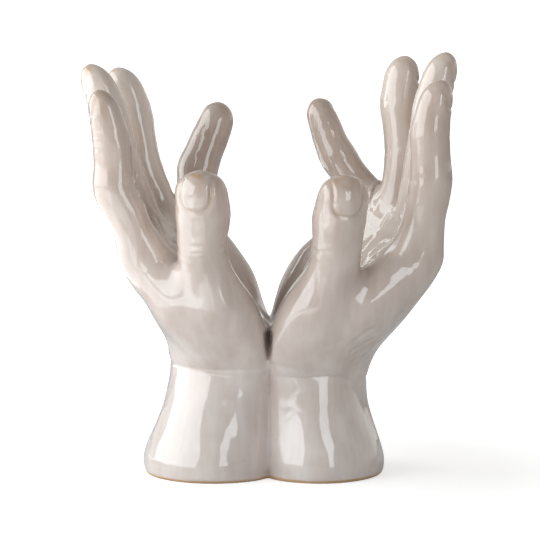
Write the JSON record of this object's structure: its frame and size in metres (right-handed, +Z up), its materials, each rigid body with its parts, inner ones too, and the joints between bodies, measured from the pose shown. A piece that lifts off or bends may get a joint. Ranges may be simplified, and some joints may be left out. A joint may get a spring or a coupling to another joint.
{
  "type": "cupped hands sculpture",
  "caption": "Life-size pair of open, cupped hands in gloss off-white glazed stoneware, luted at the wrists and standing on forearm stubs, to hold keepsakes or show on a shelf.",
  "frame": {"origin": "on the floor, on the luted seam between the two forearm stubs, midway between their fronts and backs", "axes": "+X to the viewer's right, across both hands; +Y to the back, where the little fingers are; +Z up along the fingers"},
  "size_m": [0.1892, 0.1009, 0.2132],
  "materials": {
    "glaze": "gloss off-white glaze that breaks tan on thin edges",
    "bisque": "bare fired stoneware"
  },
  "bodies": {
    "root": {"left_forearm_stub": "glaze", "left_palm": "glaze", "left_thumb": "glaze", "left_index_finger": "glaze", "left_middle_finger": "glaze", "left_ring_finger": "glaze", "left_little_finger": "glaze", "left_base_plug": "bisque", "right_forearm_stub": "glaze", "right_palm": "glaze", "right_thumb": "glaze", "right_index_finger": "glaze", "right_middle_finger": "glaze", "right_ring_finger": "glaze", "right_little_finger": "glaze", "right_base_plug": "bisque", "wrist_luting": "glaze"}
  },
  "joints": []
}
